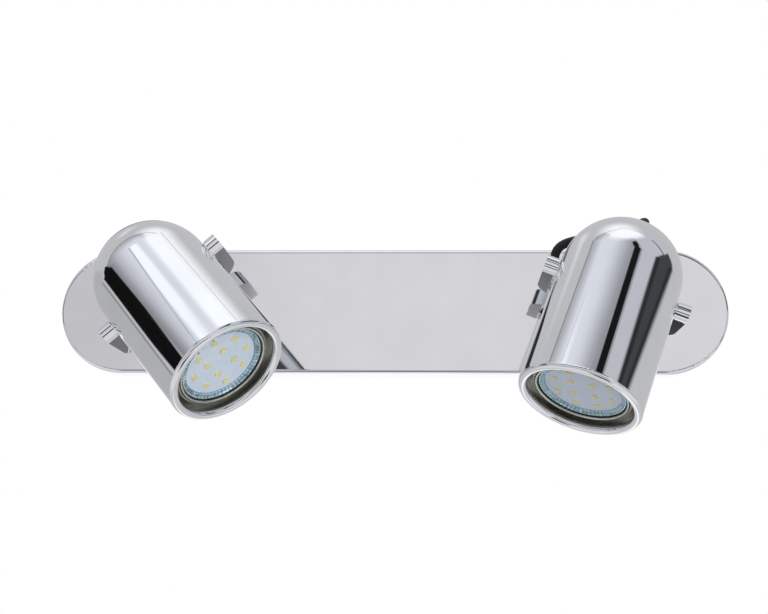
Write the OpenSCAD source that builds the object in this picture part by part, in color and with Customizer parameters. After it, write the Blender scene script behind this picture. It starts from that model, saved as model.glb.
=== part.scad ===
// Twin wall spotlight: a long chromed canopy with two bullet heads on turning yokes.
// The wall is the plane y = 0, the viewer is at -Y, +Z is up and +X is to the right.

/* [Canopy] */
// Length of the canopy over its round ends
canopy_length = 425; // [400:5:460]
// Height of the canopy, which is also the width of its round ends
canopy_height = 80; // [76:1:90]
// Depth of the canopy from the wall to its front face
canopy_depth = 20; // [20:1:24]
// Thickness of the canopy's sheet
canopy_wall = 1.2; // [1:0.1:1.5]
// Radius of the pressed edge round the canopy's front
canopy_edge_radius = 2.4; // [2:0.1:4]
// Distance between the two swivel centres
swivel_spacing = 265; // [250:5:280]

/* [Wall bracket] */
// Width of the wall bracket's strip
bracket_width = 26; // [24:1:30]
// Thickness of the bracket's strip
bracket_thickness = 1.5; // [1.2:0.1:2]
// Distance between the two fixing slots
slot_spacing = 120; // [110:5:130]
// End-to-end length of a fixing slot
slot_length = 14; // [10:1:18]
// Width of a fixing slot
slot_width = 5; // [4.5:0.5:6]

/* [Swivels] */
// Distance from the canopy's front face to the tilt axis
pivot_projection = 75; // [74:1:80]
// Depth of the turned collar between the canopy and the yoke
collar_depth = 10.2; // [9:0.2:11]
// Radius of the collar's foot on the canopy
collar_radius = 13; // [12:0.5:15]
// Outer radius of the hollow swivel nipple
nipple_radius = 5; // [4.8:0.1:5.4]
// Turn of the left yoke about the wall's normal
left_pan = 41; // [-60:1:60]
// Turn of the right yoke about the wall's normal
right_pan = -20.5; // [-60:0.5:60]

/* [Yokes] */
// Gap between a head's side and each arm of its yoke
arm_clearance = 0.9; // [0.8:0.1:2]
// Thickness of a yoke's arms and cross-bar
yoke_thickness = 7.2; // [6.6:0.2:8]
// Width of a yoke's arms
yoke_width = 10.4; // [10:0.2:13]
// Outer radius of a yoke's two bends
yoke_bend_radius = 27; // [24:1:32]
// Tilt of the left head from straight out of the wall
left_tilt = 65; // [62:1:68]
// Tilt of the right head from straight out of the wall
right_tilt = 70; // [67:1:73]

/* [Heads] */
// Outer radius of a head's tube and of its round rear end
head_radius = 35.5; // [35:0.1:35.6]
// Thickness of a head's sheet
head_wall = 1.2; // [1:0.1:1.4]
// Distance from the tilt axis back to the centre of the round rear end
head_back = 8; // [7:0.5:9]
// Distance from the tilt axis forward to the rim
head_front = 78; // [76:1:84]
// Radius of the rolled rim
rim_bead_radius = 2.6; // [2:0.1:3]

/* [Lamp] */
// Radius of the lamp's body and glass rim
lamp_radius = 24.8; // [24.6:0.1:25]
// Depth of the lamp's front face behind the rim
lamp_recess = 7; // [6:0.5:9]
// Number of light-emitting chips in the outer ring
outer_chips = 8; // [6:1:10]
// Number of light-emitting chips in the inner ring
inner_chips = 4; // [3:1:5]

/* [Flex] */
// Diameter of the black flex
flex_diameter = 5.6; // [5:0.1:5.7]

/* [Hidden] */
$fn = 64;
SIDES = [-1, 1];
// Clearance of a turning fit, on the radius
running_gap = 0.06;
// Clearance of a piece that is pressed or screwed into a hole, on the radius
tight_gap = 0.02;
// Clearance of a screw in a plain hole, on the radius
screw_gap = 0.2;
// Gap between two curved faces that don't touch
free_gap = 0.3;
// How far a cutting shape passes beyond the face that it cuts
past = 1;

// Fasteners
m4_radius = 1.95;
m4_head_radius = 3.5;
m4_head_height = 2.4;
set_screw_slot_width = 0.7;
set_screw_slot_depth = 1;
m3_radius = 1.45;
m3_head_radius = 2.7;
m3_head_height = 1.8;

// Canopy
canopy_end_radius = canopy_height / 2;
canopy_inner_radius = canopy_end_radius - canopy_wall;
canopy_straight = canopy_length - canopy_height;
canopy_screw_depth = 10;

// Wall bracket, whose two bent tabs end just inside the canopy's round ends
tab_width = 14;
tab_length = canopy_screw_depth + 4;
tab_reach = canopy_straight / 2
    + sqrt(pow(canopy_inner_radius, 2) - pow(tab_width / 2, 2)) - free_gap;
plate_half = canopy_straight / 2 + 15;
cable_notch_radius = 7;
earth_x = 30;
earth_ring_radius = 4.4;
earth_ring_thickness = 1;

// Terminal block, whose ways stand side by side in front of the bracket
block_ways = 3;
way_pitch = 8;
block_depth = 16;
block_base = 4;
block_height = 11;
block_z = 2;
hump_radius = 3.6;
hump_depth = 13;
terminal_radius = 1.7;
terminal_height = block_base + 1.9;
terminal_screw_offset = 3.4;
terminal_screw_length = 3.6;

// Swivel stack, measured from the canopy's front face towards the viewer
friction_washer = 0.8;
crossbar_back = collar_depth + friction_washer;
crossbar_front = crossbar_back + yoke_thickness;
collar_top_radius = 11;
nipple_bore = 3.3;
nipple_mouth = 1.2;
nipple_flange_radius = 8.5;
nipple_flange = 2;
spring_washer_radius = 9;
spring_washer_thickness = 1;
nut_thickness = 4;
nut_flats = 14;
nipple_tail = canopy_wall + spring_washer_thickness + nut_thickness + 1.5;

// Yoke
arm_inner = head_radius + arm_clearance;
arm_outer = arm_inner + yoke_thickness;
crossbar_reach = pivot_projection - crossbar_back;

// Head
head_inner = head_radius - head_wall;
bead_centre = head_radius - rim_bead_radius;
bead_height = head_front - rim_bead_radius;
inlet_angle = 10;
inlet_radius = 3.6;

// Pivot, measured from the head's axis outwards
bush_radius = 4.8;
bush_neck_radius = 3;
bush_clearance = 0.1;
strip_half = head_inner - free_gap;
strip_thickness = 1.2;
strip_seat = strip_half - strip_thickness;
spring_ring_radius = 3.3;
spring_ring_thickness = 0.9;
pivot_screw_seat = strip_seat - spring_ring_thickness;
pivot_screw_hole = 5;

// Strip that carries the lampholder
strip_width = 13;
strip_rear = 8;
holder_screw_spacing = 18;
earth_lead_x = 13.5;

// Lamp, along the head's axis
lamp_front = head_front - lamp_recess;
lamp_rim_width = 2.4;
reflector_length = 24;
reflector_neck = 15;
cap_length = 16;
cap_radius = 14;
cap_foot_radius = 11.5;
cap_foot_length = 5;
lamp_rear = lamp_front - lamp_rim_width - reflector_length - cap_length;
cap_front = lamp_rear + cap_length;
glass_thickness = 1.2;
glass_radius = lamp_radius - 0.6;
board_front = lamp_front - 2.6;
board_thickness = 1;
board_radius = 22;
pin_spacing = 10;
pin_radius = 1.2;
pin_head_radius = 2.4;
pin_head_height = 2.2;
pin_length = 7.2;

// Light-emitting chips
chip_length = 3.4;
chip_width = 2.8;
chip_height = 0.7;
outer_ring_radius = 16.8;
inner_ring_radius = 8.6;
inner_ring_turn = 67;
left_lamp_turn = -16;
right_lamp_turn = -2;

// Lampholder, with a hole in its rear for each of the two lamp leads
holder_radius = 13.5;
holder_rear = strip_rear + strip_thickness;
holder_front = lamp_rear - 0.2;
holder_hole_gap = 0.4;
holder_counterbore = 2;
lead_entry_x = 4;
lead_entry_y = -9.6;
lead_entry_depth = 3;

// Ring between the lamp and the head, and the wire clip that keeps the lamp in it
baffle_radius = head_inner - 0.1;
baffle_wall = 0.8;
baffle_skirt = 14;
baffle_mouth_radius = 28.2;
baffle_mouth_front = lamp_front + 0.6;
baffle_shelf = lamp_front - 4.2;
baffle_seat_radius = lamp_radius - 0.3;
clip_wire_radius = 0.75;
clip_radius = baffle_mouth_radius - baffle_wall - clip_wire_radius - free_gap;
clip_height = lamp_front + clip_wire_radius + 0.05;
clip_opening = 26;
clip_turn = 90;
clip_end_length = 3.6;

// Gland where the flex leaves the head, measured from the centre of the round rear end
gland_radius = 5;
gland_tip_radius = 3.9;
gland_height = 4;
gland_bore = 2.85;
gland_flange_radius = 4.8;
gland_flange = 1.2;
gland_groove = head_inner - 0.4;

// Flex and its leads
flex_sides = 8;
flex_start = head_inner - 3.3;
flex_tail = 1.5;
flex_end = pivot_projection + nipple_tail + flex_tail;
lead_radius = 0.75;
lead_sides = 8;
lead_pitch = 1.6;

// Lanes of the flexes' leads inside the canopy, above the bracket
lane_y = -5.5;
lane_z = 18;
lane_pitch = 2.4;
left_lane_end_y = -8.6;
right_lane_end_y = -5;
lane_end_x = 45;
drop_top = 13.2;
drop_bottom = 10.4;

// Flex routes from the gland's mouth to the nipple's mouth, in the yoke's frame
left_flex_route = [
    [0, 26.1, 39.6], [-1.1, 29, 44.1], [-4.5, 32.7, 47.3], [-9.8, 36.2, 47.9], [-15.4, 39.4, 45.6],
    [-20.4, 41.8, 41.4], [-24.6, 43.4, 36], [-27.6, 44.3, 29.8], [-28.9, 44.8, 23.2],
    [-28.3, 45.1, 16.8], [-25.6, 45.4, 11.4], [-21.2, 45.7, 7.6], [-16.2, 45.9, 5.2],
];
right_flex_route = [
    [0, 22.5, 41.7], [0.9, 25, 46.2], [2.6, 28.8, 50.1], [4.2, 33.8, 52.4], [3.8, 39.2, 52.2],
    [1, 44, 50], [-3.8, 47.2, 46.8], [-9.8, 48.4, 43.2], [-16.2, 47.4, 39.2], [-22.2, 45.3, 35.1],
    [-27.6, 42.9, 31.4], [-32.2, 41.2, 28.3], [-36, 40.2, 25.1], [-38.8, 39.6, 21.3],
    [-39.8, 39.7, 17.1], [-38.9, 40.6, 12.9], [-36.4, 42, 9.5], [-32.8, 43.4, 7.3],
    [-28.4, 44.7, 6.4], [-22.6, 45.7, 5.7], [-16.7, 46, 4.7],
];
// Last bend of both flexes, into the nipple's mouth
flex_route_end = [[-11.2, 46, 3.6], [-6.9, 46.9, 2.3], [-3.3, 49.3, 1.2], [-0.9, 52.9, 0.4], [0, 57.2, 0]];

// Each side has a number: -1 is the left light and 1 is the right light
LEFT = -1;
RIGHT = 1;
function pan(side) = side < 0 ? left_pan : right_pan;
function tilt(side) = side < 0 ? left_tilt : right_tilt;
function flex_route(side) =
    concat(side < 0 ? left_flex_route : right_flex_route, flex_route_end);
function lamp_turn(side) = side < 0 ? left_lamp_turn : right_lamp_turn;

// Frame of a swivel: origin on the canopy's front face, X across the arms, +Y into the wall
module at_swivel(side) {
    translate([side * swivel_spacing / 2, -canopy_depth, 0]) rotate([0, -pan(side), 0]) children();
}

// The same place, with +Z out of the wall, for the pieces turned about the swivel's axis
module along_swivel(side) {
    at_swivel(side) rotate([90, 0, 0]) children();
}

// Frame of a yoke: as the swivel's, with its origin on the tilt axis
module at_pivot(side) {
    at_swivel(side) translate([0, -pivot_projection, 0]) children();
}

// Frame of a head: origin on the tilt axis, X along it and +Z towards the open front
module at_head(side) {
    at_pivot(side) rotate([90 + tilt(side), 0, 0]) children();
}

// Frame of the flex inlet: origin at the centre of the round rear end, +Z out along the flex
module at_inlet(side) {
    at_head(side) translate([0, 0, -head_back]) rotate([180 - inlet_angle, 0, 0]) children();
}

// A point of the inlet's axis in the yoke's frame
function inlet_point(side, distance) =
    let (lean = 90 - tilt(side) + inlet_angle)
    [
        0,
        head_back * cos(tilt(side)) + distance * sin(lean),
        head_back * sin(tilt(side)) + distance * cos(lean),
    ];

module ring(outer, inner, height) {
    difference() {
        cylinder(h = height, r = outer);
        translate([0, 0, -past]) cylinder(h = height + 2 * past, r = inner);
    }
}

// Screw with its head above z = 0 and its shank below
module screw(shank, length, head, head_height) {
    difference() {
        rotate_extrude() polygon([
            [0, -length], [shank, -length], [shank, 0], [head, 0], [head, head_height * 0.55],
            [head * 0.8, head_height], [0, head_height],
        ]);
        for (turn = [0, 90])
            translate([0, 0, head_height]) rotate([0, 0, turn])
                cube([head * 1.1, head * 0.24, head_height * 0.9], center = true);
    }
}

// Wall of a round tube that follows a route, with one ring of points for each point of the route
function unit(v) = v / norm(v);
function heading(route, i) = unit(route[min(i + 1, len(route) - 1)] - route[max(i - 1, 0)]);
function first_side(d) = unit(cross(d, abs(d[0]) < 0.9 ? [1, 0, 0] : [0, 0, 1]));
function side_at(route, i) =
    let (d = heading(route, i))
    i == 0
        ? first_side(d)
        : let (before = side_at(route, i - 1)) unit(before - (before * d) * d);

module tube_along(route, radius, sides) {
    count = len(route);
    points = [
        for (i = [0 : count - 1])
            let (d = heading(route, i), s = side_at(route, i), t = cross(d, s))
            for (k = [0 : sides - 1])
                route[i] + radius * (cos(360 * k / sides) * s + sin(360 * k / sides) * t)
    ];
    walls = [
        for (i = [0 : count - 2])
            for (k = [0 : sides - 1])
                let (next = (k + 1) % sides)
                each [
                    [i * sides + k, (i + 1) * sides + k, (i + 1) * sides + next],
                    [i * sides + k, (i + 1) * sides + next, i * sides + next],
                ]
    ];
    start_cap = [for (k = [0 : sides - 1]) k];
    end_cap = [for (k = [0 : sides - 1]) count * sides - 1 - k];
    polyhedron(points = points, faces = concat(walls, [start_cap], [end_cap]));
}

// Half section of a dish with a rounded front edge
module dish_section(half, depth, edge) {
    square([half - edge, depth]);
    square([half, depth - edge]);
    translate([half - edge, depth - edge]) circle(edge);
}

// Dish with straight sides and round ends, open at z = 0
module dish(half, depth, edge) {
    for (side = SIDES)
        translate([side * canopy_straight / 2, 0, 0]) rotate([0, 0, -90 * side])
            rotate_extrude(angle = 180) dish_section(half, depth, edge);
    translate([-canopy_straight / 2, 0, 0]) rotate([90, 0, 90]) linear_extrude(canopy_straight) {
        dish_section(half, depth, edge);
        mirror([1, 0]) dish_section(half, depth, edge);
    }
}

module canopy() {
    color([0.82, 0.83, 0.85])
    difference() {
        rotate([90, 0, 0]) dish(canopy_end_radius, canopy_depth, canopy_edge_radius);
        translate([0, past, 0]) rotate([90, 0, 0])
            dish(canopy_inner_radius, canopy_depth - canopy_wall + past, canopy_edge_radius - canopy_wall);
        for (side = SIDES) {
            along_swivel(side)
                cylinder(h = 4 * canopy_wall, r = nipple_radius + running_gap, center = true);
            translate([side * canopy_length / 2, -canopy_screw_depth, 0]) rotate([0, 90, 0])
                cylinder(h = 4 * canopy_wall, r = m4_radius + screw_gap, center = true);
        }
    }
}

// Outline of the bracket seen from above, with a tab at each end
module bracket_outline() {
    difference() {
        translate([-tab_reach, 0]) square([2 * tab_reach, tab_length]);
        translate([-tab_reach + bracket_thickness, bracket_thickness])
            square([2 * (tab_reach - bracket_thickness), tab_length]);
    }
}

module fixing_slot() {
    reach = slot_length / 2 - slot_width / 2;
    square([2 * reach, slot_width], center = true);
    for (side = SIDES) translate([side * reach, 0]) circle(slot_width / 2);
}

module wall_bracket() {
    color([0.72, 0.73, 0.74])
    difference() {
        union() {
            rotate([180, 0, 0]) translate([0, 0, -tab_width / 2])
                linear_extrude(tab_width) bracket_outline();
            translate([-plate_half, -bracket_thickness, -bracket_width / 2])
                cube([2 * plate_half, bracket_thickness, bracket_width]);
        }
        for (side = SIDES) {
            translate([side * slot_spacing / 2, past, 0]) rotate([90, 0, 0])
                linear_extrude(bracket_thickness + 2 * past) fixing_slot();
            translate([side * tab_reach, -canopy_screw_depth, 0]) rotate([0, 90, 0])
                cylinder(h = 4 * bracket_thickness, r = m4_radius + tight_gap, center = true);
        }
        translate([0, past, -bracket_width / 2]) rotate([90, 0, 0])
            cylinder(h = bracket_thickness + 2 * past, r = cable_notch_radius);
        translate([earth_x, past, 0]) rotate([90, 0, 0])
            cylinder(h = bracket_thickness + 2 * past, r = m4_radius + tight_gap);
    }
}

// Headless screws, flush with the canopy's outside, that end behind the bracket's tabs
module canopy_screws() {
    start = tab_reach - bracket_thickness - 3;
    color([0.8, 0.8, 0.82])
    for (side = SIDES)
        translate([0, -canopy_screw_depth, 0]) rotate([0, side * 90, 0]) difference() {
            translate([0, 0, start]) cylinder(h = canopy_length / 2 - start, r = m4_radius);
            translate([0, 0, canopy_length / 2])
                cube([set_screw_slot_width, 3 * m4_radius, 2 * set_screw_slot_depth], center = true);
        }
}

// Frame of the terminal block: +Z out of the wall, Y up, one way each way_pitch along X
function way_x(way) = (way - (block_ways - 1) / 2) * way_pitch;

module at_block() {
    translate([0, -bracket_thickness, block_z]) rotate([90, 0, 0]) children();
}

module terminal_block() {
    width = block_ways * way_pitch;
    color([0.93, 0.93, 0.9])
    at_block() difference() {
        union() {
            translate([-width / 2, -block_depth / 2, 0]) cube([width, block_depth, block_base]);
            for (way = [0 : block_ways - 1])
                translate([way_x(way), -hump_depth / 2, 0]) rotate([-90, 0, 0])
                    linear_extrude(hump_depth) {
                        translate([-hump_radius, -block_height + hump_radius])
                            square([2 * hump_radius, block_height - hump_radius]);
                        translate([0, -block_height + hump_radius]) circle(hump_radius);
                    }
        }
        for (way = [0 : block_ways - 1]) translate([way_x(way), 0, terminal_height]) {
            rotate([90, 0, 0]) cylinder(h = 2 * block_depth, r = terminal_radius, center = true);
            for (end = SIDES)
                translate([0, end * terminal_screw_offset, 0]) cylinder(h = block_height, r = terminal_radius);
        }
    }
}

module terminal_screws() {
    color([0.78, 0.64, 0.32])
    at_block() for (way = [0 : block_ways - 1], end = SIDES)
        translate([way_x(way), end * terminal_screw_offset, terminal_height + terminal_radius])
            difference() {
                cylinder(h = terminal_screw_length, r = terminal_radius - tight_gap);
                translate([0, 0, terminal_screw_length]) cube([5, 0.7, 1.6], center = true);
            }
}

module earth_screw() {
    color([0.8, 0.7, 0.4])
    translate([earth_x, -bracket_thickness, 0]) rotate([90, 0, 0]) {
        translate([0, 0, earth_ring_thickness])
            screw(m4_radius, bracket_thickness + earth_ring_thickness, m4_head_radius, m4_head_height);
        ring(earth_ring_radius, m4_radius + tight_gap, earth_ring_thickness);
    }
}

// Route of one lead from the end of a flex to its way of the terminal block
function lead_place(side, way) = side > 0 ? block_ways - 1 - way : way;
function lead_route(side, way) =
    let (
        place = lead_place(side, way),
        x = side * (swivel_spacing / 2 + (place - 1) * lead_pitch),
        z = place == 1 ? 0.9 : -0.5,
        start = -canopy_depth - pivot_projection + flex_end,
        lane = lane_z + lane_pitch * place,
        end_x = way_x(way) + side * 0.8,
        end_lane_y = side > 0 ? right_lane_end_y : left_lane_end_y,
        end_y = -bracket_thickness - terminal_height
    )
    [
        [x, start, z], [x, start + 2.4, z], [x, lane_y - 0.6, z + 3], [x, lane_y, z + 7],
        [x, lane_y, lane - 3], [x - side * 3, lane_y, lane], [side * lane_end_x, lane_y, lane],
        [side * 28, end_lane_y, lane], [end_x + side * 3, end_lane_y, lane],
        [end_x, end_lane_y, lane - 3], [end_x, end_lane_y, drop_top], [end_x, end_y, drop_bottom],
        [end_x, end_y, block_z + 1],
    ];

module flex_leads(way) {
    for (side = SIDES) tube_along(lead_route(side, way), lead_radius, lead_sides);
}

module live_leads() {
    color([0.45, 0.26, 0.12]) flex_leads(0);
}

module neutral_leads() {
    color([0.12, 0.3, 0.62]) flex_leads(1);
}

module earth_leads() {
    block_face = -bracket_thickness - terminal_height;
    ring_face = -bracket_thickness - earth_ring_thickness / 2;
    color([0.45, 0.65, 0.15]) {
        flex_leads(2);
        // The link from the block's earth way to the bracket's earth screw
        tube_along([
            [way_x(2), block_face, 1], [way_x(2), block_face, -8], [way_x(2) + 1.2, block_face, -10.2],
            [way_x(2) + 4, block_face + 1, -11.2], [earth_x - 10, ring_face - 1.4, -9.4],
            [earth_x - 6.6, ring_face - 0.4, -5.6], [earth_x - 4.1, ring_face - 0.3, -2.4],
        ], lead_radius, lead_sides);
    }
}

module swivel_collar(side) {
    bore = nipple_radius + running_gap;
    color([0.8, 0.81, 0.83])
    along_swivel(side) rotate_extrude() polygon([
        [bore, 0], [collar_radius, 0], [collar_radius, 2], [collar_top_radius, 4],
        [collar_top_radius, collar_depth - 1], [collar_top_radius - 1, collar_depth], [bore, collar_depth],
    ]);
}

module swivel_washer(side) {
    color([0.12, 0.12, 0.12])
    along_swivel(side) translate([0, 0, collar_depth])
        ring(collar_top_radius - 1, nipple_radius + running_gap, friction_washer);
}

module swivel_nipple(side) {
    flange_front = crossbar_front + nipple_flange;
    color([0.78, 0.79, 0.8])
    along_swivel(side) rotate_extrude() polygon([
        [nipple_bore, -nipple_tail], [nipple_radius, -nipple_tail], [nipple_radius, crossbar_front],
        [nipple_flange_radius, crossbar_front], [nipple_flange_radius, flange_front - 0.8],
        [nipple_flange_radius - 0.8, flange_front], [nipple_bore + nipple_mouth, flange_front],
        [nipple_bore, flange_front - nipple_mouth],
    ]);
}

module spring_washer(side) {
    color([0.6, 0.6, 0.62])
    along_swivel(side) translate([0, 0, -canopy_wall - spring_washer_thickness])
        ring(spring_washer_radius, nipple_radius + running_gap, spring_washer_thickness);
}

module swivel_nut(side) {
    back = -canopy_wall - spring_washer_thickness - nut_thickness;
    color([0.75, 0.66, 0.4])
    along_swivel(side) translate([0, 0, back]) difference() {
        cylinder(h = nut_thickness, r = nut_flats / 2 / cos(30), $fn = 6);
        translate([0, 0, -past])
            cylinder(h = nut_thickness + 2 * past, r = nipple_radius + tight_gap);
    }
}

// Outline of a bar bent to a U, filled, from the tilt axis to the cross-bar
module bent_outline(half, reach, bend, start) {
    translate([-half, start]) square([2 * half, reach - bend - start]);
    translate([-half + bend, start]) square([2 * (half - bend), reach - start]);
    for (side = SIDES) translate([side * (half - bend), reach - bend]) circle(bend);
}

// Outline of a bar seen from its side, with a round end at the origin
module round_ended_outline(half_width, reach) {
    circle(half_width);
    translate([0, -half_width]) square([reach, 2 * half_width]);
}

module yoke(side) {
    half_width = yoke_width / 2;
    color([0.82, 0.83, 0.85])
    at_pivot(side) difference() {
        intersection() {
            translate([0, 0, -yoke_width]) linear_extrude(2 * yoke_width) difference() {
                bent_outline(arm_outer, crossbar_reach, yoke_bend_radius, -yoke_width);
                bent_outline(arm_inner, crossbar_reach - yoke_thickness,
                    yoke_bend_radius - yoke_thickness, -yoke_width - past);
            }
            translate([-2 * arm_outer, 0, 0]) rotate([90, 0, 90]) linear_extrude(4 * arm_outer)
                round_ended_outline(half_width, 2 * crossbar_reach);
        }
        translate([0, crossbar_reach, 0]) rotate([90, 0, 0])
            cylinder(h = 4 * yoke_thickness, r = nipple_radius + tight_gap, center = true);
        for (end = SIDES)
            rotate([0, end * 90, 0]) cylinder(h = arm_inner + pivot_screw_hole, r = m4_radius + tight_gap);
    }
}

module pivot_screws(side) {
    color([0.7, 0.7, 0.72])
    at_pivot(side) for (end = SIDES)
        translate([end * pivot_screw_seat, 0, 0]) rotate([0, -end * 90, 0])
            screw(m4_radius, arm_inner + pivot_screw_hole - free_gap - pivot_screw_seat,
                m4_head_radius, m4_head_height);
}

module pivot_bushes(side) {
    bore = m4_radius + tight_gap;
    shoulder = head_radius + bush_clearance;
    outer_face = arm_inner - tight_gap;
    color([0.76, 0.77, 0.78])
    at_pivot(side) for (end = SIDES)
        rotate([0, end * 90, 0]) rotate_extrude() polygon([
            [bore, head_inner], [bush_neck_radius, head_inner], [bush_neck_radius, shoulder],
            [bush_radius, shoulder], [bush_radius, outer_face], [bore, outer_face],
        ]);
}

module pivot_springs(side) {
    color([0.6, 0.6, 0.62])
    at_pivot(side) for (end = SIDES)
        rotate([0, end * 90, 0]) translate([0, 0, pivot_screw_seat])
            ring(spring_ring_radius, m4_radius + tight_gap, spring_ring_thickness);
}

// Half outline of a head, from the round rear end to the height given
module bullet_section(radius, height) {
    intersection() {
        translate([0, -head_back]) circle(radius);
        translate([0, -head_back - radius - past]) square(radius + past);
    }
    translate([0, -head_back]) square([radius, head_back + height]);
}

module shell_section() {
    difference() {
        bullet_section(head_radius, bead_height);
        bullet_section(head_inner, bead_height + past);
    }
    // The rolled rim
    difference() {
        translate([bead_centre, bead_height]) circle(rim_bead_radius);
        translate([bead_centre, bead_height - 2 * rim_bead_radius]) square(2 * rim_bead_radius);
    }
}

module head_shell(side) {
    color([0.82, 0.83, 0.85])
    difference() {
        at_head(side) rotate_extrude() shell_section();
        at_head(side) rotate([0, 90, 0])
            cylinder(h = 3 * head_radius, r = bush_neck_radius + running_gap, center = true);
        at_inlet(side) cylinder(h = head_radius + past, r = inlet_radius);
    }
}

module cord_gland(side) {
    tip = head_radius + gland_height;
    neck = inlet_radius - tight_gap;
    color([0.07, 0.07, 0.07])
    at_inlet(side) rotate_extrude() polygon([
        [gland_bore, gland_groove - gland_flange], [gland_flange_radius, gland_groove - gland_flange],
        [gland_flange_radius, gland_groove], [neck, gland_groove], [neck, head_radius],
        [gland_radius, head_radius], [gland_radius, head_radius + 0.8],
        [gland_tip_radius, tip], [gland_bore, tip],
    ]);
}

module flex(side) {
    route = concat(
        [inlet_point(side, flex_start)],
        flex_route(side),
        [[0, crossbar_reach - 2, 0], [0, flex_end, 0]]
    );
    color([0.05, 0.05, 0.05])
    at_pivot(side) tube_along(route, flex_diameter / 2, flex_sides);
}

// Strip bent to a U and hung on the two pivot screws
module holder_strip(side) {
    front = strip_rear + strip_thickness;
    color([0.75, 0.75, 0.76])
    at_head(side) difference() {
        intersection() {
            translate([0, strip_width, 0]) rotate([90, 0, 0]) linear_extrude(2 * strip_width) difference() {
                translate([-head_radius, -strip_width]) square([2 * head_radius, strip_width + front]);
                translate([-strip_seat, -strip_width - past])
                    square([2 * strip_seat, strip_width + past + strip_rear]);
            }
            translate([-head_radius, 0, 0]) rotate([90, 0, 90]) linear_extrude(2 * head_radius)
                rotate([0, 0, 90]) round_ended_outline(strip_width / 2, 2 * strip_width);
            translate([0, 0, -head_radius]) cylinder(h = 2 * head_radius, r = strip_half);
        }
        rotate([0, 90, 0])
            cylinder(h = 3 * head_radius, r = m4_radius + screw_gap, center = true);
        for (end = SIDES) translate([end * holder_screw_spacing / 2, 0, 0])
            cylinder(h = 2 * front, r = m3_radius + tight_gap);
    }
}

module lampholder(side) {
    color([0.93, 0.92, 0.88])
    at_head(side) difference() {
        translate([0, 0, holder_rear]) cylinder(h = holder_front - holder_rear, r = holder_radius);
        for (end = SIDES) {
            translate([0, end * pin_spacing / 2, lamp_rear - pin_length - holder_hole_gap])
                cylinder(h = pin_length + past, r = pin_head_radius + holder_hole_gap);
            translate([end * holder_screw_spacing / 2, 0, 0]) {
                cylinder(h = holder_front + past, r = m3_radius + screw_gap);
                translate([0, 0, holder_front - holder_counterbore])
                    cylinder(h = holder_counterbore + past, r = m3_head_radius + screw_gap);
            }
            translate([end * lead_entry_x, lead_entry_y, holder_rear - past])
                cylinder(h = lead_entry_depth + past, r = lead_radius + free_gap);
        }
    }
}

module holder_screws(side) {
    seat = holder_front - holder_counterbore;
    color([0.8, 0.8, 0.82])
    at_head(side) for (end = SIDES)
        translate([end * holder_screw_spacing / 2, 0, seat])
            screw(m3_radius, seat - strip_rear + 1, m3_head_radius, m3_head_height);
}

// Leads from the flex's inner end to the lampholder, and the earth to the strip
module head_leads(side) {
    rear_y = -flex_start * sin(inlet_angle);
    rear_z = -head_back - flex_start * cos(inlet_angle);
    color([0.5, 0.3, 0.16])
    at_head(side) {
        for (end = SIDES) tube_along([
            [end * lead_pitch, rear_y, rear_z], [end * lead_pitch, rear_y + 0.6, rear_z + 4],
            [end * lead_entry_x, lead_entry_y + 2, -12], [end * lead_entry_x, lead_entry_y, 2],
            [end * lead_entry_x, lead_entry_y, holder_rear + lead_entry_depth],
        ], lead_radius, lead_sides);
        tube_along([
            [0, rear_y + lead_pitch, rear_z], [0, rear_y + lead_pitch + 0.6, rear_z + 4],
            [5, 2, -16], [earth_lead_x - 1.2, 2, -3], [earth_lead_x, 2, 3],
            [earth_lead_x, 2, strip_rear],
        ], lead_radius, lead_sides);
    }
}

module lamp_cap(side) {
    color([0.92, 0.92, 0.92])
    at_head(side) rotate_extrude() polygon([
        [0, lamp_rear], [cap_foot_radius, lamp_rear], [cap_foot_radius, lamp_rear + cap_foot_length],
        [cap_radius, lamp_rear + cap_foot_length + 2], [cap_radius, cap_front], [0, cap_front],
    ]);
}

module lamp_pins(side) {
    color([0.8, 0.78, 0.7])
    at_head(side) for (end = SIDES) translate([0, end * pin_spacing / 2, lamp_rear - pin_length]) {
        cylinder(h = pin_length, r = pin_radius);
        cylinder(h = pin_head_height, r = pin_head_radius);
    }
}

module lamp_reflector(side) {
    recess = board_radius + free_gap;
    board_rear = board_front - board_thickness;
    rim_inner = glass_radius + tight_gap;
    glass_rear = lamp_front - glass_thickness;
    color([0.75, 0.76, 0.78])
    at_head(side) rotate_extrude() polygon([
        [0, cap_front], [reflector_neck, cap_front], [lamp_radius, lamp_front - lamp_rim_width],
        [lamp_radius, lamp_front], [rim_inner, lamp_front], [rim_inner, glass_rear],
        [recess, glass_rear], [recess, board_rear], [0, board_rear],
    ]);
}

module lamp_board(side) {
    color([0.86, 0.88, 0.92])
    at_head(side) translate([0, 0, board_front - board_thickness])
        cylinder(h = board_thickness, r = board_radius);
}

module chip_ring(count, radius, turn) {
    for (k = [0 : count - 1])
        rotate([0, 0, turn + 360 * k / count]) translate([radius, 0, board_front + chip_height / 2])
            cube([chip_width, chip_length, chip_height], center = true);
}

module lamp_chips(side) {
    color([0.95, 0.82, 0.25])
    at_head(side) {
        chip_ring(outer_chips, outer_ring_radius, lamp_turn(side));
        chip_ring(inner_chips, inner_ring_radius, lamp_turn(side) + inner_ring_turn);
    }
}

module lamp_glass(side) {
    color([0.75, 0.85, 0.9, 0.4])
    at_head(side) translate([0, 0, lamp_front - glass_thickness])
        cylinder(h = glass_thickness, r = glass_radius);
}

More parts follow.
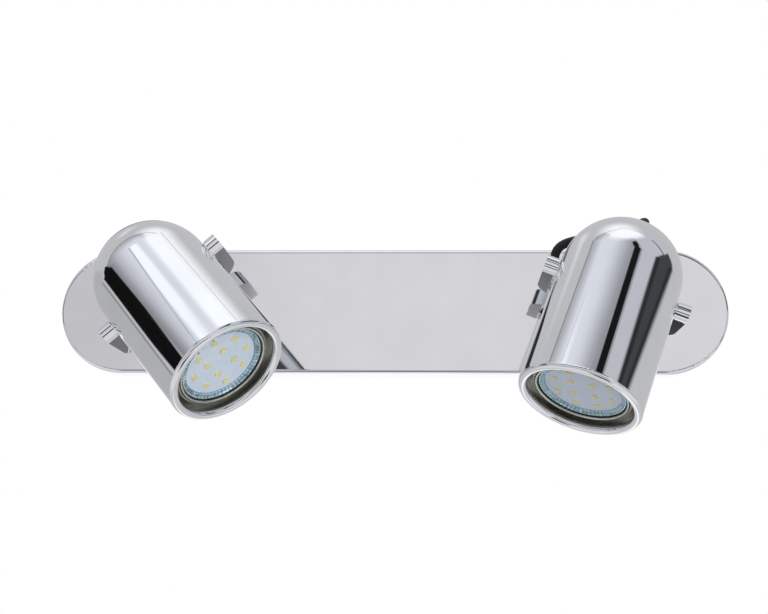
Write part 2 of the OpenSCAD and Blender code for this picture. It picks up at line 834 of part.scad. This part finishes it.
module baffle_ring(side) {
    skirt_inner = baffle_radius - baffle_wall;
    shelf_rear = baffle_shelf - baffle_wall;
    mouth_inner = baffle_mouth_radius - baffle_wall;
    color([0.35, 0.33, 0.27])
    at_head(side) rotate_extrude() polygon([
        [skirt_inner, lamp_front - baffle_skirt], [baffle_radius, lamp_front - baffle_skirt],
        [baffle_radius, baffle_shelf], [baffle_mouth_radius, baffle_shelf],
        [baffle_mouth_radius, baffle_mouth_front], [mouth_inner, baffle_mouth_front],
        [mouth_inner, baffle_shelf + baffle_wall], [baffle_seat_radius, baffle_shelf + baffle_wall],
        [baffle_seat_radius, shelf_rear], [skirt_inner, shelf_rear],
    ]);
}

// Sprung wire ring whose two ends are bent in over the lamp's rim
module lamp_clip(side) {
    color([0.72, 0.62, 0.42])
    at_head(side) translate([0, 0, clip_height]) {
        rotate([0, 0, clip_turn + clip_opening / 2])
            rotate_extrude(angle = 360 - clip_opening)
                translate([clip_radius, 0]) circle(clip_wire_radius);
        for (end = SIDES)
            rotate([0, 0, clip_turn + end * clip_opening / 2])
                translate([clip_radius - clip_end_length, 0, 0])
                    rotate([0, 90, 0]) cylinder(h = clip_end_length, r = clip_wire_radius);
    }
}

canopy();
wall_bracket();
canopy_screws();
terminal_block();
terminal_screws();
earth_screw();
live_leads();
neutral_leads();
earth_leads();

swivel_collar(LEFT);  // left_swivel_collar
swivel_washer(LEFT);  // left_swivel_washer
swivel_nipple(LEFT);  // left_swivel_nipple
spring_washer(LEFT);  // left_spring_washer
swivel_nut(LEFT);  // left_swivel_nut
yoke(LEFT);  // left_yoke
pivot_screws(LEFT);  // left_pivot_screws
pivot_bushes(LEFT);  // left_pivot_bushes
pivot_springs(LEFT);  // left_pivot_springs
head_shell(LEFT);  // left_head_shell
cord_gland(LEFT);  // left_cord_gland
flex(LEFT);  // left_flex
holder_strip(LEFT);  // left_holder_strip
lampholder(LEFT);  // left_lampholder
holder_screws(LEFT);  // left_holder_screws
head_leads(LEFT);  // left_head_leads
lamp_cap(LEFT);  // left_lamp_cap
lamp_pins(LEFT);  // left_lamp_pins
lamp_reflector(LEFT);  // left_lamp_reflector
lamp_board(LEFT);  // left_lamp_board
lamp_chips(LEFT);  // left_lamp_chips
lamp_glass(LEFT);  // left_lamp_glass
baffle_ring(LEFT);  // left_baffle_ring
lamp_clip(LEFT);  // left_lamp_clip

swivel_collar(RIGHT);  // right_swivel_collar
swivel_washer(RIGHT);  // right_swivel_washer
swivel_nipple(RIGHT);  // right_swivel_nipple
spring_washer(RIGHT);  // right_spring_washer
swivel_nut(RIGHT);  // right_swivel_nut
yoke(RIGHT);  // right_yoke
pivot_screws(RIGHT);  // right_pivot_screws
pivot_bushes(RIGHT);  // right_pivot_bushes
pivot_springs(RIGHT);  // right_pivot_springs
head_shell(RIGHT);  // right_head_shell
cord_gland(RIGHT);  // right_cord_gland
flex(RIGHT);  // right_flex
holder_strip(RIGHT);  // right_holder_strip
lampholder(RIGHT);  // right_lampholder
holder_screws(RIGHT);  // right_holder_screws
head_leads(RIGHT);  // right_head_leads
lamp_cap(RIGHT);  // right_lamp_cap
lamp_pins(RIGHT);  // right_lamp_pins
lamp_reflector(RIGHT);  // right_lamp_reflector
lamp_board(RIGHT);  // right_lamp_board
lamp_chips(RIGHT);  // right_lamp_chips
lamp_glass(RIGHT);  // right_lamp_glass
baffle_ring(RIGHT);  // right_baffle_ring
lamp_clip(RIGHT);  // right_lamp_clip
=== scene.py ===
import math

import bpy
from mathutils import Matrix, Vector


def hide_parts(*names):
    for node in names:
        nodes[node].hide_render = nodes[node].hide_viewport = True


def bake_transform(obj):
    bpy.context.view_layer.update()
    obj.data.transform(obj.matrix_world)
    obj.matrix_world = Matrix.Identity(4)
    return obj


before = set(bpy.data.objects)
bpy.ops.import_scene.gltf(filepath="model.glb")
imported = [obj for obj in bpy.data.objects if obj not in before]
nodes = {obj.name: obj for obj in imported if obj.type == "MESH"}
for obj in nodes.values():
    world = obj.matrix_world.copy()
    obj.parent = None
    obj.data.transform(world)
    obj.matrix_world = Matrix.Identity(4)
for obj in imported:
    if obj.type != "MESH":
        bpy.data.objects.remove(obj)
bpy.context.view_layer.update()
scene = bpy.context.scene

MM = 0.001
LEFT, RIGHT = -1, 1
SIDES = (LEFT, RIGHT)
PREFIX = {LEFT: "left_", RIGHT: "right_"}

# Sizes of the part, in millimetres and degrees, as in its source
CANOPY_DEPTH = 20
SWIVEL_SPACING = 265
PIVOT_PROJECTION = 75
HEAD_BACK = 8
INLET_ANGLE = 10
FLEX_DIAMETER = 5.6
FLEX_START = 31
FLEX_END = 84.2
NIPPLE_MOUTH = 62
PAN = {LEFT: 41, RIGHT: -20.5}
TILT = {LEFT: 65, RIGHT: 70}

# Steps between two points of its route, and flat sides round it
FLEX_STEPS = 5
FLEX_FACETS = 28


def turn(degrees, axis):
    return Matrix.Rotation(math.radians(degrees), 4, axis)


def pivot_frame(side):
    """Frame of a yoke: origin on the tilt axis, X along it, +Y into the wall."""
    swivel = Vector((side * SWIVEL_SPACING / 2, -CANOPY_DEPTH, 0)) * MM
    return (
        Matrix.Translation(swivel)
        @ turn(-PAN[side], "Y")
        @ Matrix.Translation((0, -PIVOT_PROJECTION * MM, 0))
    )


def head_frame(side):
    """Frame of a head: +Z towards its open front."""
    return pivot_frame(side) @ turn(90 + TILT[side], "X")


# Camera at the photograph's place
CAMERA_PLACE = Vector((0.03123, -0.86415, -0.14674))
CAMERA_YAW, CAMERA_PITCH, CAMERA_ROLL = 2.46, 10.02, 0.51
FOCAL_PX = 1348
FRAME_WIDTH_PX = 768
SENSOR_MM = 36
CLIP_NEAR, CLIP_FAR = 0.01, 50


def make_camera():
    data = bpy.data.cameras.new("camera")
    data.sensor_fit = "HORIZONTAL"
    data.sensor_width = SENSOR_MM
    data.lens = FOCAL_PX * SENSOR_MM / FRAME_WIDTH_PX
    data.clip_start, data.clip_end = CLIP_NEAR, CLIP_FAR
    camera = bpy.data.objects.new("camera", data)
    scene.collection.objects.link(camera)
    camera.matrix_world = (
        Matrix.Translation(CAMERA_PLACE)
        @ turn(CAMERA_YAW, "Z")
        @ turn(90 + CAMERA_PITCH, "X")
        @ turn(CAMERA_ROLL, "Z")
    )
    scene.camera = camera


make_camera()
scene.view_settings.view_transform = "Standard"


def add_mesh(name, points, faces):
    mesh = bpy.data.meshes.new(name)
    mesh.from_pydata([tuple(p) for p in points], [], faces)
    mesh.update()
    for polygon in mesh.polygons:
        polygon.use_smooth = True
    piece = bpy.data.objects.new(name, mesh)
    scene.collection.objects.link(piece)
    return piece


def smooth_line(points, steps):
    """A smooth curve through all the points."""
    line = []
    last = len(points) - 1
    for i in range(last):
        a, b = points[max(i - 1, 0)], points[i]
        c, d = points[i + 1], points[min(i + 2, last)]
        for k in range(steps):
            t = k / steps
            line.append(
                0.5
                * (
                    2 * b
                    + (c - a) * t
                    + (2 * a - 5 * b + 4 * c - d) * t * t
                    + (3 * b - a - 3 * c + d) * t**3
                )
            )
    return [*line, points[-1]]


def tube_points(line, radius, sides):
    """Rings of points round a line, turned as little as possible from one to the next."""
    rings = []
    across = None
    for i, p in enumerate(line):
        ahead = (line[min(i + 1, len(line) - 1)] - line[max(i - 1, 0)]).normalized()
        if across is None:
            across = ahead.orthogonal().normalized()
        across = (across - ahead * across.dot(ahead)).normalized()
        other = ahead.cross(across)
        rings.append(
            [
                p
                + radius * (math.cos(a) * across + math.sin(a) * other)
                for a in (2 * math.pi * k / sides for k in range(sides))
            ]
        )
    return rings


def add_rings(name, rings):
    """A closed skin over rings of points."""
    sides = len(rings[0])
    faces = [
        (
            i * sides + k,
            (i + 1) * sides + k,
            (i + 1) * sides + (k + 1) % sides,
            i * sides + (k + 1) % sides,
        )
        for i in range(len(rings) - 1)
        for k in range(sides)
    ]
    faces.append(tuple(range(sides)))
    faces.append(tuple(reversed(range((len(rings) - 1) * sides, len(rings) * sides))))
    return add_mesh(name, [p for ring in rings for p in ring], faces)


# Flexes, from inside the head, out of its gland and into the swivel
FLEX_ROUTE = {
    LEFT: [
        (0, 26.1, 39.6), (-1.1, 29, 44.1), (-4.5, 32.7, 47.3), (-9.8, 36.2, 47.9), (-15.4, 39.4, 45.6),
        (-20.4, 41.8, 41.4), (-24.6, 43.4, 36), (-27.6, 44.3, 29.8), (-28.9, 44.8, 23.2),
        (-28.3, 45.1, 16.8), (-25.6, 45.4, 11.4), (-21.2, 45.7, 7.6), (-16.2, 45.9, 5.2),
    ],
    RIGHT: [
        (0, 22.5, 41.7), (0.9, 25, 46.2), (2.6, 28.8, 50.1), (4.2, 33.8, 52.4), (3.8, 39.2, 52.2),
        (1, 44, 50), (-3.8, 47.2, 46.8), (-9.8, 48.4, 43.2), (-16.2, 47.4, 39.2), (-22.2, 45.3, 35.1),
        (-27.6, 42.9, 31.4), (-32.2, 41.2, 28.3), (-36, 40.2, 25.1), (-38.8, 39.6, 21.3),
        (-39.8, 39.7, 17.1), (-38.9, 40.6, 12.9), (-36.4, 42, 9.5), (-32.8, 43.4, 7.3),
        (-28.4, 44.7, 6.4), (-22.6, 45.7, 5.7), (-16.7, 46, 4.7),
    ],
}
FLEX_ROUTE_END = [
    (-11.2, 46, 3.6), (-6.9, 46.9, 2.3), (-3.3, 49.3, 1.2), (-0.9, 52.9, 0.4), (0, 57.2, 0),
    (0, NIPPLE_MOUTH, 0), (0, FLEX_END, 0),
]


def inlet_point(side, distance):
    """A point of the gland's axis, in the yoke's frame."""
    tilt = math.radians(TILT[side])
    lean = math.radians(90 - TILT[side] + INLET_ANGLE)
    return (
        0,
        HEAD_BACK * math.cos(tilt) + distance * math.sin(lean),
        HEAD_BACK * math.sin(tilt) + distance * math.cos(lean),
    )


def add_flex(side):
    name = PREFIX[side] + "flex"
    route = [inlet_point(side, FLEX_START), *FLEX_ROUTE[side], *FLEX_ROUTE_END]
    place = pivot_frame(side)
    line = smooth_line([place @ (Vector(p) * MM) for p in route], FLEX_STEPS)
    flex = add_rings(name + "_cable", tube_points(line, FLEX_DIAMETER / 2 * MM, FLEX_FACETS))
    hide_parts(name)
    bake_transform(flex)
    return flex


flexes = {side: add_flex(side) for side in SIDES}


# Materials
def link(tree, a, b):
    tree.links.new(a, b)


def add_node(tree, kind, **values):
    made = tree.nodes.new(kind)
    for key, value in values.items():
        setattr(made, key, value)
    return made


def calculate(tree, operation, *values):
    """One sum in a node tree; each value is a number or a socket."""
    made = add_node(tree, "ShaderNodeMath", operation=operation)
    for slot, value in zip(made.inputs, values):
        if isinstance(value, (int, float)):
            slot.default_value = value
        else:
            link(tree, value, slot)
    return made.outputs[0]


def noise(tree, scale, detail=2.0):
    """Noise in the object's own space, as a socket from 0 to 1."""
    coordinates = add_node(tree, "ShaderNodeTexCoord")
    texture = add_node(tree, "ShaderNodeTexNoise")
    texture.inputs["Scale"].default_value = scale
    texture.inputs["Detail"].default_value = detail
    link(tree, coordinates.outputs["Object"], texture.inputs["Vector"])
    return texture.outputs["Fac"]


def ranged(tree, value, low, high, to_low, to_high):
    made = add_node(tree, "ShaderNodeMapRange")
    link(tree, value, made.inputs["Value"])
    for key, number in (("From Min", low), ("From Max", high), ("To Min", to_low), ("To Max", to_high)):
        made.inputs[key].default_value = number
    return made.outputs["Result"]


def ramp(tree, value, stops):
    made = add_node(tree, "ShaderNodeValToRGB")
    elements = made.color_ramp.elements
    while len(elements) < len(stops):
        elements.new(0.5)
    for element, (place, colour) in zip(elements, stops):
        element.position = place
        element.color = (*colour, 1)
    link(tree, value, made.inputs["Fac"])
    return made.outputs["Color"]


def bump(tree, bsdf, value, depth_mm):
    made = add_node(tree, "ShaderNodeBump")
    made.inputs["Distance"].default_value = depth_mm * MM
    link(tree, value, made.inputs["Height"])
    link(tree, made.outputs["Normal"], bsdf.inputs["Normal"])


def material(name, dark, light, rough, metallic, scale, rough_scale, bump_mm=0.0, **settings):
    """A material whose colour, roughness and relief vary over the surface."""
    made = bpy.data.materials.new(name)
    made.use_nodes = True
    tree = made.node_tree
    bsdf = tree.nodes["Principled BSDF"]
    bsdf.inputs["Metallic"].default_value = metallic
    grain = noise(tree, scale, 3)
    cloud = noise(tree, rough_scale)
    link(tree, ramp(tree, grain, [(0.3, dark), (0.7, light)]), bsdf.inputs["Base Color"])
    link(tree, ranged(tree, cloud, 0.3, 0.7, *rough), bsdf.inputs["Roughness"])
    if bump_mm:
        bump(tree, bsdf, grain, bump_mm)
    for key, value in settings.items():
        bsdf.inputs[key.replace("_", " ")].default_value = value
    return made


MATERIALS = {
    "chrome": material("chrome", (0.84, 0.85, 0.87), (0.88, 0.89, 0.91), (0.025, 0.06), 1.0, 40, 25),
    "zinc_steel": material(
        "zinc_steel", (0.56, 0.57, 0.58), (0.72, 0.73, 0.74), (0.28, 0.45), 1.0, 160, 60, 0.01
    ),
    "brass": material("brass", (0.68, 0.52, 0.26), (0.8, 0.66, 0.36), (0.22, 0.36), 1.0, 300, 90, 0.01),
    "white_plastic": material(
        "white_plastic", (0.84, 0.84, 0.81), (0.9, 0.9, 0.87), (0.38, 0.5), 0.0, 900, 90, 0.01
    ),
    "fibre": material("fibre", (0.06, 0.06, 0.06), (0.13, 0.13, 0.12), (0.7, 0.85), 0.0, 1500, 200, 0.04),
    "flex_sheath": material(
        "flex_sheath", (0.006, 0.006, 0.006), (0.016, 0.016, 0.017), (0.42, 0.58), 0.0, 900, 120, 0.03,
        Specular_IOR_Level=0.3,
    ),
    "gland_rubber": material(
        "gland_rubber", (0.02, 0.02, 0.02), (0.045, 0.045, 0.045), (0.55, 0.7), 0.0, 1200, 150, 0.02
    ),
    "lead_brown": material(
        "lead_brown", (0.24, 0.11, 0.04), (0.33, 0.17, 0.07), (0.35, 0.5), 0.0, 700, 90, 0.01
    ),
    "lead_blue": material(
        "lead_blue", (0.04, 0.15, 0.42), (0.08, 0.23, 0.56), (0.35, 0.5), 0.0, 700, 90, 0.01
    ),
    "lead_green": material(
        "lead_green", (0.2, 0.4, 0.06), (0.6, 0.6, 0.08), (0.35, 0.5), 0.0, 120, 90, 0.01
    ),
    "ceramic": material("ceramic", (0.84, 0.82, 0.76), (0.9, 0.88, 0.83), (0.18, 0.3), 0.0, 500, 90, 0.03),
    "lamp_white": material(
        "lamp_white", (0.84, 0.84, 0.84), (0.9, 0.9, 0.9), (0.2, 0.3), 0.0, 600, 70, 0.01
    ),
    "board": material("board", (0.76, 0.83, 0.94), (0.82, 0.89, 0.99), (0.35, 0.5), 0.0, 500, 120, 0.01),
    "chip": material("chip", (1.0, 0.76, 0.2), (1.0, 0.9, 0.42), (0.3, 0.45), 0.0, 900, 200, 0.01),
    "lamp_glass": material(
        "lamp_glass", (0.93, 0.97, 0.98), (0.97, 0.99, 1.0), (0.0, 0.02), 0.0, 60, 40,
        Transmission_Weight=1.0, IOR=1.45,
    ),
    "dark_metal": material(
        "dark_metal", (0.36, 0.36, 0.3), (0.46, 0.46, 0.39), (0.3, 0.42), 1.0, 500, 90, 0.01
    ),
    "spring_wire": material(
        "spring_wire", (0.52, 0.51, 0.46), (0.66, 0.65, 0.6), (0.15, 0.3), 1.0, 400, 120, 0.01
    ),
}


# Prisms round the edge of each lamp's reflector, drawn as painted glints: a pale and a darker stripe for
# each prism
PRISMS = 62


def painted_glint_prisms(side):
    """The lamp's blue-green reflector, with painted glints: pale and darker stripes round the lamp's axis
    paint the light that its prisms catch.
    """
    made = material(
        PREFIX[side] + "painted_glint_prisms", (0.7, 0.7, 0.7), (0.8, 0.8, 0.8), (0.12, 0.25), 0.6, 220, 80, 0.01
    )
    tree = made.node_tree
    place = head_frame(side)
    coordinates = add_node(tree, "ShaderNodeTexCoord")
    from_axis = add_node(tree, "ShaderNodeVectorMath", operation="SUBTRACT")
    link(tree, coordinates.outputs["Object"], from_axis.inputs[0])
    from_axis.inputs[1].default_value = place.translation
    parts = []
    for column in (0, 1):
        along = add_node(tree, "ShaderNodeVectorMath", operation="DOT_PRODUCT")
        link(tree, from_axis.outputs["Vector"], along.inputs[0])
        along.inputs[1].default_value = place.col[column].xyz
        parts.append(along.outputs["Value"])
    angle = calculate(tree, "ARCTAN2", parts[1], parts[0])
    # Painted glints: a wave round the axis gives each prism a pale and a darker stripe, as if lit; noise
    # adds random speckle
    painted_glint_wave = calculate(tree, "SINE", calculate(tree, "MULTIPLY", angle, PRISMS))
    speckle = ranged(tree, noise(tree, 260), 0.3, 0.7, 0, 0.35)
    mixed = calculate(tree, "ADD", ranged(tree, painted_glint_wave, -1, 1, 0.1, 0.65), speckle)
    colour = ramp(
        tree, mixed, [(0.2, (0.14, 0.38, 0.46)), (0.55, (0.4, 0.66, 0.8)), (0.85, (0.9, 0.97, 1.0))]
    )
    link(tree, colour, tree.nodes["Principled BSDF"].inputs["Base Color"])
    return made


for side in SIDES:
    MATERIALS[PREFIX[side] + "painted_glint_prisms"] = painted_glint_prisms(side)


def let_light_through(made):
    """Glass that lets the lamps' light through to what is behind it."""
    tree = made.node_tree
    output = next(n for n in tree.nodes if n.bl_idname == "ShaderNodeOutputMaterial")
    clear = add_node(tree, "ShaderNodeBsdfTransparent")
    path = add_node(tree, "ShaderNodeLightPath")
    both = add_node(tree, "ShaderNodeMixShader")
    link(tree, path.outputs["Is Shadow Ray"], both.inputs["Fac"])
    link(tree, tree.nodes["Principled BSDF"].outputs["BSDF"], both.inputs[1])
    link(tree, clear.outputs["BSDF"], both.inputs[2])
    link(tree, both.outputs[0], output.inputs["Surface"])


let_light_through(MATERIALS["lamp_glass"])


def assign(piece, slot):
    piece.data.materials.clear()
    piece.data.materials.append(MATERIALS[slot])


NODE_SLOTS = {
    "chrome": ["canopy", "swivel_collar", "yoke", "head_shell", "pivot_bushes"],
    "zinc_steel": [
        "wall_bracket", "canopy_screws", "swivel_nipple", "spring_washer", "pivot_screws",
        "pivot_springs", "holder_strip", "holder_screws",
    ],
    "brass": ["terminal_screws", "earth_screw", "swivel_nut", "lamp_pins"],
    "white_plastic": ["terminal_block"],
    "fibre": ["swivel_washer"],
    "gland_rubber": ["cord_gland"],
    "lead_brown": ["live_leads", "head_leads"],
    "lead_blue": ["neutral_leads"],
    "lead_green": ["earth_leads"],
    "ceramic": ["lampholder"],
    "lamp_white": ["lamp_cap"],
    "board": ["lamp_board"],
    "chip": ["lamp_chips"],
    "lamp_glass": ["lamp_glass"],
    "dark_metal": ["baffle_ring"],
    "spring_wire": ["lamp_clip"],
}
for slot, names in NODE_SLOTS.items():
    for name, node in nodes.items():
        if name.removeprefix("left_").removeprefix("right_") in names:
            assign(node, slot)
for side, flex in flexes.items():
    assign(flex, "flex_sheath")
    # The reflectors get the material with painted glints on their prisms
    assign(nodes[PREFIX[side] + "lamp_reflector"], PREFIX[side] + "painted_glint_prisms")


# World: the white ground that the camera sees, and the studio that lights the object and that
# the chrome mirrors
class Studio:
    """A picture of the studio by direction: azimuth from the front and elevation, in degrees.

    A tone of 1 is white. Each area is laid over the ones before it.
    """

    def __init__(self, tree):
        self.tree = tree
        coordinates = add_node(tree, "ShaderNodeTexCoord")
        parts = add_node(tree, "ShaderNodeSeparateXYZ")
        link(tree, coordinates.outputs["Generated"], parts.inputs["Vector"])
        self.direction = coordinates.outputs["Generated"]
        x, y, z = parts.outputs
        self.across, self.depth = x, y
        self.azimuth = self.math(
            "DEGREES", self.math("ARCTAN2", x, self.math("MULTIPLY", y, -1))
        )
        self.elevation = self.math("DEGREES", self.math("ARCSINE", z))

    def math(self, operation, *values):
        return calculate(self.tree, operation, *values)

    def step(self, value, low, high, to_low=0.0, to_high=1.0):
        made = add_node(self.tree, "ShaderNodeMapRange", interpolation_type="SMOOTHSTEP")
        link(self.tree, value, made.inputs["Value"])
        for key, number in (
            ("From Min", low), ("From Max", high), ("To Min", to_low), ("To Max", to_high)
        ):
            made.inputs[key].default_value = number
        return made.outputs["Result"]

    def band(self, value, low, high, soft):
        rise = self.step(value, low - soft, low + soft)
        fall = self.step(value, high - soft, high + soft, 1.0, 0.0)
        return self.math("MULTIPLY", rise, fall)

    def away(self, azimuth, elevation):
        """Angle from a direction, in degrees."""
        a, e = math.radians(azimuth), math.radians(elevation)
        made = add_node(self.tree, "ShaderNodeVectorMath", operation="DOT_PRODUCT")
        link(self.tree, self.direction, made.inputs[0])
        made.inputs[1].default_value = (
            math.sin(a) * math.cos(e), -math.cos(a) * math.cos(e), math.sin(e)
        )
        return self.math("DEGREES", self.math("ARCCOSINE", made.outputs["Value"]))

    def over(self, under, mask, value):
        """The value laid over what is under it, where the mask is 1."""
        kept = self.math("MULTIPLY", under, self.math("SUBTRACT", 1.0, mask))
        return self.math("ADD", kept, self.math("MULTIPLY", mask, value))

    def both(self, mask, other):
        """The part that two masks share."""
        return self.math("MULTIPLY", mask, other)

    def patches(self, under, *areas):
        """Areas between two azimuths and two elevations, with their soft edge and tone."""
        for azimuths, elevations, soft, tone in areas:
            mask = self.both(
                self.band(self.azimuth, *azimuths, soft), self.band(self.elevation, *elevations, soft)
            )
            under = self.over(under, mask, tone)
        return under


def make_world():
    world = bpy.data.worlds.new("studio")
    world.use_nodes = True
    scene.world = world
    tree = world.node_tree
    tree.nodes.clear()
    s = Studio(tree)
    azimuth, elevation = s.azimuth, s.elevation
    # The backdrop, which pales towards the top light and low down behind the object
    light = s.step(elevation, 58, 84, 0.57, 1.06)
    aside = s.math("ABSOLUTE", azimuth)
    behind = s.step(aside, 150, 166)
    light = s.over(light, s.both(behind, s.band(elevation, -26, 8, 4)), 1.04)
    low = s.over(s.step(aside, 95, 115, 0.77, 0.62), s.step(aside, 162, 168), 1.06)
    light = s.over(light, s.step(elevation, -22, -28), low)
    light = s.patches(
        light, ((-152, -101), (-16, 12), 3.0, 0.48), ((66, 98), (-16, -10), 1.0, 0.25)
    )
    light = s.over(light, s.both(behind, s.band(elevation, -17, -10.5, 1)), 0.18)
    light = s.patches(light, ((-168, -155), (13, 27), 3.0, 0.14))
    # The front of the studio, which pales towards a large panel above left
    panel = s.step(s.away(-48, 54), 8, 50, 0.8, 0.32)
    panel = s.math("MINIMUM", panel, s.step(elevation, 14, 44, 0.26, 0.95))
    panel = s.math("MINIMUM", panel, s.step(azimuth, -97, -50, 0.42, 0.88))
    light = s.over(light, s.both(s.band(azimuth, -92, 44, 1.5), s.band(elevation, 14, 74, 3)), panel)
    light = s.patches(light, ((-146, -120), (42, 51), 4.0, 0.76))
    # The thin frame that runs over the object from the left to the right
    bar_depth = s.math("SUBTRACT", s.depth, s.step(s.across, -0.05, 0.08, 0.0, 0.065))
    bar = s.both(s.band(bar_depth, 0.018, 0.042, 0.008), s.step(elevation, 18, 24))
    bar = s.both(bar, s.step(s.across, 0.18, 0.25, 1.0, 0.0))
    light = s.over(light, bar, s.step(s.across, -0.5, 0.1, 0.2, 0.7))
    # The top light, whose near edge leans to the right
    leaning = s.math("ADD", elevation, s.math("MULTIPLY", azimuth, 0.07))
    light = s.over(light, s.both(s.band(azimuth, -56, 88, 8), s.step(leaning, 61, 73)), 1.12)
    # The pale table below, and the card round the camera, which the canopy and the arms show
    light = s.patches(light, ((-75, 85), (-100, -22), 3.0, 0.76))
    card = s.both(s.band(azimuth, -56, 48, 4), s.band(elevation, -24, 20, 1.5))
    light = s.over(light, card, s.step(azimuth, -18, -3, 0.6, 0.755))
    # Strips and dark gaps over and under the card
    light = s.patches(
        light,
        ((-50, 46), (20.5, 28), 1.0, 0.03),
        ((-40, 16), (31, 46), 2.5, 1.02),
        ((-60, 60), (-20, -16), 1.0, 0.12),
        ((-24, 18), (-64, -38), 2.0, 0.03),
    )
    gap = s.both(s.band(azimuth, -22, 28, 3), s.band(elevation, -21, -9, 1))
    light = s.over(light, gap, s.step(elevation, -13.5, -9.5, 0.05, 0.3))
    # A bright strip above left
    strip = s.both(s.step(azimuth, -57.5, -56), s.step(azimuth, -50, -38, 1.0, 0.0))
    light = s.over(light, s.both(strip, s.band(elevation, 42, 58, 3)), 1.1)
    # The strip's edge, dark flags at the left, and the narrow flag at the right
    light = s.patches(
        light,
        ((-57.6, -56.4), (36, 60), 0.5, 0.5),
        ((-97, -76), (-1, 16.5), 0.8, 0.006),
        ((-104, -100.5), (-6, 1), 0.8, 0.3),
        ((29, 41), (34, 58), 0.8, 0.01),
    )
    # The wide flag at the right, darker along its lower edge and its near side
    flag = s.both(s.step(azimuth, 64, 70), s.step(azimuth, 102, 108, 1.0, 0.0))
    height = s.both(s.step(elevation, 8.5, 12.5), s.step(elevation, 27, 30, 1.0, 0.0))
    light = s.over(light, s.both(flag, height), s.step(elevation, 12, 16, 0.025, 0.06))
    light = s.patches(light, ((69, 75), (18, 28), 1.5, 0.03), ((88, 91), (26, 50), 1.0, 0.08))
    shade = add_node(tree, "ShaderNodeCombineColor")
    # The front is the coolest white, and the card round the camera the warmest
    front = s.both(s.band(azimuth, -90, 110, 2), s.step(elevation, 12, 18))
    tints = zip(shade.inputs, (0.99, 0.99, 1.015), (0.965, 0.99, 1.06), (1.0, 0.985, 1.01))
    for channel, rest, cool, warm in tints:
        tint = s.over(s.over(rest, front, cool), card, warm)
        link(tree, s.math("MULTIPLY", light, tint), channel)
    room = add_node(tree, "ShaderNodeBackground")
    link(tree, shade.outputs[0], room.inputs["Color"])
    ground = add_node(tree, "ShaderNodeBackground")
    ground.inputs["Color"].default_value = (1, 1, 1, 1)
    path = add_node(tree, "ShaderNodeLightPath")
    mixed = add_node(tree, "ShaderNodeMixShader")
    seen = s.math("MAXIMUM", path.outputs["Is Camera Ray"], path.outputs["Is Transmission Ray"])
    link(tree, seen, mixed.inputs["Fac"])
    link(tree, room.outputs[0], mixed.inputs[1])
    link(tree, ground.outputs[0], mixed.inputs[2])
    output = add_node(tree, "ShaderNodeOutputWorld")
    link(tree, mixed.outputs[0], output.inputs["Surface"])


make_world()


# The lamps are square panels, in metres, that aim at the middle of the object
LAMP_SIZE = 1.0
LAMP_TARGET = Vector((0, -0.05, 0))


def add_lamp(name, place, watts):
    data = bpy.data.lights.new(name, "AREA")
    data.shape = "RECTANGLE"
    data.size = data.size_y = LAMP_SIZE
    data.energy = watts
    lamp = bpy.data.objects.new(name, data)
    scene.collection.objects.link(lamp)
    lamp.location = place
    lamp.rotation_mode = "QUATERNION"
    lamp.rotation_quaternion = (LAMP_TARGET - Vector(place)).to_track_quat("-Z", "Y")
    lamp.visible_glossy = False


add_lamp("key", (-0.7, -1.2, 1.1), 9)
add_lamp("fill", (0.9, -1.3, -0.1), 5)


# Half the side of the square floor, and its height, in metres
FLOOR_HALF = 4.0
FLOOR_Z = -0.6


def add_floor():
    floor = add_mesh(
        "floor",
        [(x * FLOOR_HALF, y * FLOOR_HALF, FLOOR_Z) for x, y in ((-1, -1), (1, -1), (1, 1), (-1, 1))],
        [(0, 1, 2, 3)],
    )
    floor.data.materials.append(
        material("floor_paper", (0.86, 0.86, 0.86), (0.88, 0.88, 0.88), (0.8, 0.9), 0.0, 3, 5)
    )
    floor.visible_glossy = False


add_floor()
